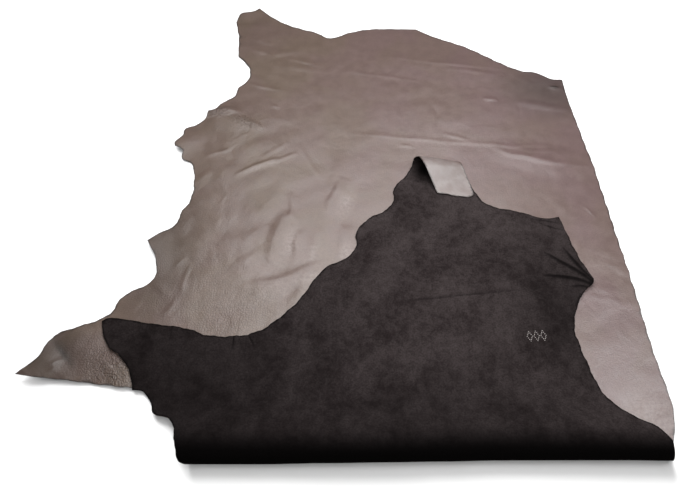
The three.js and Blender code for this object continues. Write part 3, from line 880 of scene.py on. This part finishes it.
for name, rows in (("coarse_grain", COARSE_GRAIN), ("painted_highlight", PAINTED_HIGHLIGHTS), ("painted_grain_shade", GRAIN_SHADE_PATCHES),
                   ("loose", LOOSE_LEATHER), ("crinkle", CRINKLED)):
    give_points(name, patch_amount(rows, across, along))
# The drum dye drifts to the rosier taupe from the belly to the spine. The tip is paler from about where
# it turns over, partly rubbed and partly a painted highlight, and the rim is the points of the outline
# and of the slit.
ROSIER = (-0.300, 0.350)
TIP_TURNS = (0.850, 0.872)
give_points("toward_spine", smoothstep(across, *ROSIER))
give_points("rubbed_and_highlit", smoothstep(-along, *TIP_TURNS))
rim_points = np.zeros(count)
rim_points[[place for loop in loops for place in loop]] = 1
give_points("rim", rim_points)

OLIVE_TAUPE = "#726257"
ROSE_TAUPE = "#74605e"
# The painted highlights' pale taupe; the tip's paler taupe, partly rubbed and partly painted highlight;
# the rim's dark, partly edge and partly painted shade.
HIGHLIGHT_TAUPE = "#a0948f"
RUBBED_HIGHLIT_TAUPE = "#8f8582"
GRAIN_RIM_EDGE_AND_SHADE = "#2a2320"
PEBBLE_SIZE = 6.5 * MM
# Each pattern in the grain: its size, detail, roughness and distortion. The real pores lie 1 mm
# apart: they are drawn 3.2 mm apart, to show at all.
GRAIN_PATTERNS = {
    "drift": (170 * MM, 3.0, 0.5, 0.6),
    "clouds": (28 * MM, 3.0, 0.6, 0.0),
    "pores": (3.2 * MM, 2.0, 0.6, 0.0),
    "flecks": (9 * MM, 4.0, 0.7, 0.0),
    "crinkles": (10 * MM, 3.0, 0.55, 1.2),
    "dimples": (60 * MM, 2.0, 0.5, 0.8),
    "small dimples": (17 * MM, 3.0, 0.6, 1.0),
}
# How each shows: the two amounts between which it is eased, and what they become.
GRAIN_EASES = {
    "drift": (0.36, 0.62, 0.0, 0.4),
    "clouds": (0.3, 0.7, 0.94, 1.06),
    "pores": (0.25, 0.75, 0.89, 1.11),
    "flecks": (0.3, 0.7, 0.12, 0.62),
}
PEBBLE_EASE = (0.0, 0.3, 0.0, 1.0)
BETWEEN_PEBBLES = (0.0, 1.0, 0.22, 0.0)
RUB_AND_HIGHLIGHT_BY_CLOUDS = (0.94, 1.06, 0.55, 0.95)
RIM_ON_GRAIN = (0.35, 0.95, 0.0, 0.75)
SATIN = (0.3, 0.7, 0.29, 0.37)
SPINE_ROSINESS = 0.6
# How deep each pattern is pressed, in millimetres.
PEBBLE_DEPTH, COARSE_PEBBLE_DEPTH = 0.05, 0.26
CRINKLE_DEPTH = 4.2
PORE_DEPTH = 0.28
DIMPLE_DEPTH, SMALL_DIMPLE_DEPTH = 2.4, 0.9
# Taut leather still has this share of the dimples that loose leather has.
TAUT_DIMPLES = 0.35
# How much coarse grain and the patches of painted grain shade dull the gloss.
COARSE_DULLS, GRAIN_SHADE_DULLS = 0.04, 0.28
EASED = {"interpolation_type": "SMOOTHSTEP"}
COLOUR_MIX = {"out": 2, "data_type": "RGBA"}

grain_leather, tree, skin = new_finish("satin_taupe_grain_leather")
amount = {name: add(tree, "Attribute", out="Fac", attribute_name=name)
          for name in ("coarse_grain", "crinkle", "painted_grain_shade", "loose", "painted_highlight", "rim", "rubbed_and_highlit",
                       "toward_spine")}
place = add(tree, "UVMap", uv_map="flat_place")
pattern = {}
for name, (size, detail, roughness, distortion) in GRAIN_PATTERNS.items():
    pattern[name] = add(tree, "TexNoise", {"Vector": place, "Scale": 1 / size, "Detail": detail,
                                           "Roughness": roughness, "Distortion": distortion})
pebble = add(tree, "TexVoronoi", {"Vector": place, "Scale": 1 / PEBBLE_SIZE},
             feature="DISTANCE_TO_EDGE", voronoi_dimensions="2D")
pebble = add(tree, "MapRange", (pebble, *PEBBLE_EASE), **EASED)
shown = {name: add(tree, "MapRange", (pattern[name], *ease), **EASED)
         for name, ease in GRAIN_EASES.items()}

drift = add(tree, "Math", (amount["toward_spine"], SPINE_ROSINESS, shown["drift"]),
            operation="MULTIPLY_ADD")
tint = add(tree, "Mix", {0: drift, 6: linear(OLIVE_TAUPE), 7: linear(ROSE_TAUPE)}, **COLOUR_MIX)
tone = add(tree, "Math", (shown["clouds"], shown["pores"]), operation="MULTIPLY")
tint = add(tree, "VectorMath", {0: tint, "Scale": tone}, operation="SCALE")
# Finish is thin on the pebbles' tops and lies thick and dark between them.
between = add(tree, "MapRange", (pebble, *BETWEEN_PEBBLES), **EASED)
between = add(tree, "Math", (amount["coarse_grain"], between), operation="MULTIPLY")
# The pebbles' hollows darken the tint, and so does the painted grain shade.
for darkness in (between, amount["painted_grain_shade"]):
    tone = add(tree, "Math", (1.0, darkness), operation="SUBTRACT")
    tint = add(tree, "VectorMath", {0: tint, "Scale": tone}, operation="SCALE")
# Painted highlight: paler patches, in small flecks, where the satin gloss catches the light. The tip is
# paler too, partly rubbed and partly a painted highlight, and the rim is painted dark, partly for the
# cut edge's dark line and partly as shade along the outline.
highlight_share = add(tree, "Math", (amount["painted_highlight"], shown["flecks"]), operation="MULTIPLY")
rub_and_highlight = add(tree, "MapRange", (shown["clouds"], *RUB_AND_HIGHLIGHT_BY_CLOUDS), **EASED)
rub_and_highlight = add(tree, "Math", (amount["rubbed_and_highlit"], rub_and_highlight), operation="MULTIPLY")
rim_darkening = add(tree, "MapRange", (amount["rim"], *RIM_ON_GRAIN), **EASED)
for share, colour in ((highlight_share, HIGHLIGHT_TAUPE), (rub_and_highlight, RUBBED_HIGHLIT_TAUPE), (rim_darkening, GRAIN_RIM_EDGE_AND_SHADE)):
    tint = add(tree, "Mix", {0: share, 6: tint, 7: linear(colour)}, **COLOUR_MIX)

dullness = add(tree, "MapRange", (pattern["clouds"], *SATIN), **EASED)
for cause, dulls in (("coarse_grain", COARSE_DULLS), ("painted_grain_shade", GRAIN_SHADE_DULLS)):
    dullness = add(tree, "Math", (amount[cause], dulls, dullness), operation="MULTIPLY_ADD")

# Loose leather puckers a little all over, in soft dimples too small to be cut as creases.
slack = add(tree, "Math", (amount["loose"], 1 - TAUT_DIMPLES, TAUT_DIMPLES), operation="MULTIPLY_ADD")
RELIEF = (
    (pebble, add(tree, "Math", (amount["coarse_grain"], COARSE_PEBBLE_DEPTH, PEBBLE_DEPTH),
                 operation="MULTIPLY_ADD")),
    (pattern["crinkles"], add(tree, "Math", (amount["crinkle"], CRINKLE_DEPTH), operation="MULTIPLY")),
    (pattern["pores"], PORE_DEPTH),
    (pattern["dimples"], add(tree, "Math", (slack, DIMPLE_DEPTH), operation="MULTIPLY")),
    (pattern["small dimples"], add(tree, "Math", (slack, SMALL_DIMPLE_DEPTH), operation="MULTIPLY")),
)
height = 0.0
for shape, depth in RELIEF:
    height = add(tree, "Math", (shape, depth, height), operation="MULTIPLY_ADD")
feed(tree, skin, {
    "Base Color": tint, "Roughness": dullness, "IOR": 1.5, "Specular IOR Level": 0.85,
    "Normal": add(tree, "Bump", {"Height": height, "Strength": 1.0, "Distance": MM})})

# Flesh side: buffed to a short brown-black nap. The eye gets no gloss, soft blotches where the nap was
# stroked one way and the other, and painted shade: black on the roll's front and in its hollows, and
# darker patches and lines where the flap is lit less.
# Painted shade on the nap: darker patches towards the brisket side, along the fold and at the withers,
# where the flap is lit less.
NAP_SHADE_PATCHES = [
    ("brisket side", -0.420, -0.100, 0.760, 0.720, 90, 0.90),
    ("near the fold", 0.100, -0.040, 0.950, 0.340, 0, 0.76),
    ("withers", 0.560, -0.360, 0.340, 0.280, 80, 0.70),
]
# Painted shadows on the nap: the hollow under the tip's roll, beneath the tip's end, and under the
# withers corner.
NAP_SHADOW_PATCHES = [
    ("under the tip", 0.208, -0.822, 0.070, 0.052, 100, 1.0),
    ("under the tip's end", 0.286, -0.734, 0.060, 0.011, -8, 0.9),
    ("withers corner", 0.592, -0.446, 0.030, 0.020, 60, 0.8),
]
# How far past the roll's heel the painted shade on the roll's front starts, and fades out again.
ROLL_FRONT_SHADE_STARTS = (-0.010, 0.020)
ROLL_FRONT_SHADE_FADES = (0.054, 0.114)
# Painted shade in the shoulder's creases: a crease this high gets it fully, over these shares of its
# widths to the left and right.
FULL_CREASE_SHADE_HEIGHT = 0.003
CREASE_SHADE_SHARES = (0.55, 0.85)
CREASE_SHADE_FADE = 0.5


def crease_shade(x, y):
    """How much painted shade lies in the creases of the shoulder."""
    amount = np.zeros_like(x)
    for _, through, left_width, right_width, height, _ in CREASES:
        if through[0][1] < 0:
            left, off, gone, length = beside_line(x, y, through)
            wide = np.where(left > 0, CREASE_SHADE_SHARES[0] * left_width, CREASE_SHADE_SHARES[1] * right_width)
            ends = np.sin(np.pi * np.clip(gone / length, 0, 1)) ** CREASE_SHADE_FADE
            deep = min(abs(height) / FULL_CREASE_SHADE_HEIGHT, 1)
            amount = np.maximum(amount, deep * ends * (1 - np.minimum(off / wide, 1)))
    return amount


# Painted shade: the roll's front goes black past its heel, and so do the patches of painted shadow.
nose, size = roll_at(across)
past_heel = nose + ROLL_ARCS[0]["radius"] * size - along
roll_front_shade = smoothstep(past_heel, *ROLL_FRONT_SHADE_STARTS) * (1 - smoothstep(past_heel, *ROLL_FRONT_SHADE_FADES))
give_points("painted_nap_shadow", np.maximum(roll_front_shade, patch_amount(NAP_SHADOW_PATCHES, across, along)))
give_points("painted_crease_shade", np.where(along < 0, crease_shade(across, along), 0))
give_points("nap_shade", patch_amount(NAP_SHADE_PATCHES, across, along))

NAP_AGAINST, NAP_WITH = "#262020", "#413a3a"
# Black of the painted shadows; the nap's rim is painted dark, partly cut edge and partly painted shade.
NAP_SHADOW_BLACK = "#030202"
NAP_RIM_EDGE_AND_SHADE = "#060505"
PUNCHED_GREY = "#b9b3b0"
SHEEN_TINT = "#b0a29e"
# What is left of the nap's colour under the patches of painted shade, and in the painted shade of the
# creases.
NAP_SHADE_LEFT, CREASE_SHADE_LEFT = 0.27, 0.25
FIBRE_DEPTH, BLOTCH_DEPTH, PUNCHED_DEPTH = 0.22, 0.35, 0.6
# Strokes are a tenth longer along the hide than across it. The real fibres are under 1 mm: they are
# drawn in tufts of 4.2 mm, to show at all.
STROKE_STRETCH = (1.1, 1, 1)
SUEDE_PATTERNS = {
    "blotch": (21 * MM, 5.0, 0.72, 0.3),
    "stroke": (110 * MM, 3.0, 0.5, 0.4),
    "fibres": (4.2 * MM, 3.0, 0.7, 0.0),
}
SUEDE_EASES = {
    "blotch": (0.34, 0.66, 0.0, 1.0),
    "stroke": (0.36, 0.64, 0.0, 1.0),
    "fibres": (0.25, 0.75, 0.68, 1.32),
}
CREASE_SHADE_EASE = (0.1, 0.8, 0.0, 1.0)
RIM_ON_SUEDE = (0.3, 0.9, 0.0, 0.7)

suede, tree, nap = new_finish("dark_brown_buffed_suede")
amount = {name: add(tree, "Attribute", out="Fac", attribute_name=name)
          for name in ("painted_crease_shade", "painted_nap_shadow", "rim", "nap_shade")}
place = add(tree, "UVMap", uv_map="flat_place")
stroked_place = add(tree, "VectorMath", (place, STROKE_STRETCH), operation="MULTIPLY")
pattern = {}
for name, (size, detail, roughness, distortion) in SUEDE_PATTERNS.items():
    laid_on = place if name == "fibres" else stroked_place
    pattern[name] = add(tree, "TexNoise", {"Vector": laid_on, "Scale": 1 / size, "Detail": detail,
                                           "Roughness": roughness, "Distortion": distortion})
shown = {name: add(tree, "MapRange", (pattern[name], *ease), **EASED)
         for name, ease in SUEDE_EASES.items()}
lie = add(tree, "Math", (shown["stroke"], 0.5), operation="MULTIPLY")
lie = add(tree, "Math", (shown["blotch"], 0.5, lie), operation="MULTIPLY_ADD")
tint = add(tree, "Mix", {0: lie, 6: linear(NAP_AGAINST), 7: linear(NAP_WITH)}, **COLOUR_MIX)
crease_shading = add(tree, "MapRange", (amount["painted_crease_shade"], *CREASE_SHADE_EASE), **EASED)
# Painted shade darkens the nap in its patches and along the shoulder's creases.
for share, left in ((amount["nap_shade"], NAP_SHADE_LEFT), (crease_shading, CREASE_SHADE_LEFT)):
    darker = add(tree, "VectorMath", {0: tint, "Scale": left}, operation="SCALE")
    tint = add(tree, "Mix", {0: share, 6: tint, 7: darker}, **COLOUR_MIX)
tint = add(tree, "VectorMath", {0: tint, "Scale": shown["fibres"]}, operation="SCALE")

# The tannery's sorting mark: three lozenges of small dots, punched through from the grain side. A
# dot is punched at each crossing of a fine grid that lies near enough to a lozenge's outline. The
# line's reach is a share of a lozenge, and the dots' soft edge runs between two shares of a dot.
MARK = {"across": 0.431, "along": -0.315, "heading": -4, "pitch": 2.0 * MM, "dot": 1.2 * MM,
        "half": (6.0 * MM, 12.0 * MM), "apart": 16.0 * MM, "line": 0.13, "count": 3,
        "dot_edge": (0.7, 1.1)}
middle = (MARK["across"], MARK["along"], 0)
pitch = (MARK["pitch"], MARK["pitch"], 1)
half_pitch = (MARK["pitch"] / 2, MARK["pitch"] / 2, 0)
half_apart = MARK["apart"] / 2
spot = add(tree, "VectorRotate", {"Vector": place, "Center": middle,
                                  "Angle": math.radians(-MARK["heading"])}, rotation_type="Z_AXIS")
spot = add(tree, "VectorMath", (spot, middle), operation="SUBTRACT")
dot = add(tree, "VectorMath", (spot, half_pitch), operation="ADD")
dot = add(tree, "VectorMath", (dot, pitch), operation="SNAP")
off_dot = add(tree, "VectorMath", (spot, dot), operation="SUBTRACT")
off_dot = add(tree, "VectorMath", (off_dot,), out="Value", operation="LENGTH")
dot_x = add(tree, "SeparateXYZ", (dot,))
dot_y = dot_x.node.outputs["Y"]
in_lozenge = add(tree, "Math", (dot_x, half_apart, -half_apart), operation="WRAP")
reach = []
for way, half in zip((in_lozenge, dot_y), MARK["half"]):
    off_middle = add(tree, "Math", (way,), operation="ABSOLUTE")
    reach.append(add(tree, "Math", (off_middle, half), operation="DIVIDE"))
off_outline = add(tree, "Math", reach, operation="ADD")
off_outline = add(tree, "Math", (off_outline, 1.0), operation="SUBTRACT")
off_outline = add(tree, "Math", (off_outline,), operation="ABSOLUTE")
off_mark = add(tree, "Math", (dot_x,), operation="ABSOLUTE")
dot_edge = [share * MARK["dot"] for share in MARK["dot_edge"]]
punched = add(tree, "MapRange", (off_dot, *dot_edge, 1.0, 0.0), **EASED)
for measure, limit in ((off_outline, MARK["line"]), (off_mark, MARK["count"] * half_apart)):
    within = add(tree, "Math", (measure, limit), operation="LESS_THAN")
    punched = add(tree, "Math", (punched, within), operation="MULTIPLY")

# The nap's rim is painted dark too: partly the cut edge's dark line, partly painted shade along the
# edge.
rim_darkening = add(tree, "MapRange", (amount["rim"], *RIM_ON_SUEDE), **EASED)
# Painted shadows turn the nap black, the rim is painted dark, and the mark's dots are punched.
for share, colour in ((amount["painted_nap_shadow"], NAP_SHADOW_BLACK), (rim_darkening, NAP_RIM_EDGE_AND_SHADE),
                      (punched, PUNCHED_GREY)):
    tint = add(tree, "Mix", {0: share, 6: tint, 7: linear(colour)}, **COLOUR_MIX)
height = 0.0
for shape, depth in ((pattern["fibres"], FIBRE_DEPTH), (shown["blotch"], BLOTCH_DEPTH),
                     (punched, PUNCHED_DEPTH)):
    height = add(tree, "Math", (shape, depth, height), operation="MULTIPLY_ADD")
feed(tree, nap, {
    "Base Color": tint, "Roughness": 0.95, "Specular IOR Level": 0.06, "Sheen Weight": 0.03,
    "Sheen Roughness": 0.5, "Sheen Tint": linear(SHEEN_TINT),
    "Normal": add(tree, "Bump", {"Height": height, "Strength": 1.0, "Distance": MM})})

# Cut edge: raw fibre, left as the knife left it. The eye gets a thin dull line, paler than the nap
# and mottled as the fibres end one way and the other.
CORE_DARK, CORE_PALE = "#4d423d", "#75675f"
FIBRE_ENDS = 3 * MM
raw_edge, tree, fibre = new_finish("raw_cut_leather_edge")
place = add(tree, "UVMap", uv_map="flat_place")
ends = add(tree, "TexNoise", {"Vector": place, "Scale": 1 / FIBRE_ENDS, "Detail": 3.0})
tint = add(tree, "Mix", {0: ends, 6: linear(CORE_DARK), 7: linear(CORE_PALE)}, **COLOUR_MIX)
feed(tree, fibre, {"Base Color": tint, "Roughness": 0.9})

for finish in (grain_leather, suede, raw_edge):
    mesh.materials.append(finish)

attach(hide, "root")
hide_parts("hide")

# ---- The floor and the light -----------------------------------------------------------------------
# A white floor that glows a little, and a pale cyclorama behind it. A large softbox hangs
# level over the hide's middle, a small one over the spine side, and one light is for the floor alone.
WHITE, BLACK = (1, 1, 1, 1), (0, 0, 0, 1)
FLOOR_GREY = "#b3b3b3"
FLOOR_WIDTH = 80
BACKDROP_RADIUS = 38
floor_finish, tree, paint = new_finish("lit_white_floor")
feed(tree, paint, {"Base Color": linear(FLOOR_GREY), "Roughness": 0.9, "Specular IOR Level": 0.0,
                   "Emission Color": WHITE, "Emission Strength": 0.12})
bpy.ops.mesh.primitive_plane_add(size=FLOOR_WIDTH)
floor = bpy.context.object
floor.name = "floor"
floor.data.materials.append(floor_finish)
# The floor's own glow stays off the hide.
floor.visible_diffuse = False
floor.visible_glossy = False

backdrop_finish, tree, paint = new_finish("pale_backdrop")
feed(tree, paint, {"Base Color": BLACK, "Specular IOR Level": 0.0, "Emission Color": WHITE,
                   "Emission Strength": 1.0})
bpy.ops.mesh.primitive_uv_sphere_add(radius=BACKDROP_RADIUS, segments=48, ring_count=24)
backdrop = bpy.context.object
backdrop.name = "backdrop"
backdrop.data.materials.append(backdrop_finish)
# The backdrop is only seen: it lights and shades nothing.
backdrop.visible_diffuse = False
backdrop.visible_glossy = False
backdrop.visible_transmission = False
backdrop.visible_shadow = False

world = bpy.data.worlds.new("studio")
bpy.context.scene.world = world
world.use_nodes = True
feed(world.node_tree, world.node_tree.nodes["Background"], {"Color": WHITE, "Strength": 0.02})

# Each softbox: where it hangs, its width and depth, and its power in watts.
SOFTBOXES = {
    "main_softbox": ((0.155, -0.02, 1.3), (1.57, 2.55), 36),
    "side_softbox": ((1.66, -0.09, 1.97), (0.8, 0.8), 13),
}
for name, (hangs_at, (width, depth), watts) in SOFTBOXES.items():
    light = bpy.data.lights.new(name, "AREA")
    light.shape = "RECTANGLE"
    light.size = width
    light.size_y = depth
    light.energy = watts
    softbox = bpy.data.objects.new(name, light)
    softbox.location = hangs_at
    softbox.visible_camera = False
    bpy.context.scene.collection.objects.link(softbox)

# The background light comes from behind and left, and lights the floor alone.
BACKGROUND_LIGHT = {"strength": 10.5, "spread": 36, "tilt": -52, "turn": -30}
background = bpy.data.objects.new("background_light", bpy.data.lights.new("background_light", "SUN"))
background.data.energy = BACKGROUND_LIGHT["strength"]
background.data.angle = math.radians(BACKGROUND_LIGHT["spread"])
background.rotation_euler = (math.radians(BACKGROUND_LIGHT["tilt"]),
                             math.radians(BACKGROUND_LIGHT["turn"]), 0)
bpy.context.scene.collection.objects.link(background)
floor_only = bpy.data.collections.new("lit_by_the_background_light")
floor_only.objects.link(floor)
background.light_linking.receiver_collection = floor_only
bpy.context.scene.view_settings.view_transform = "Standard"
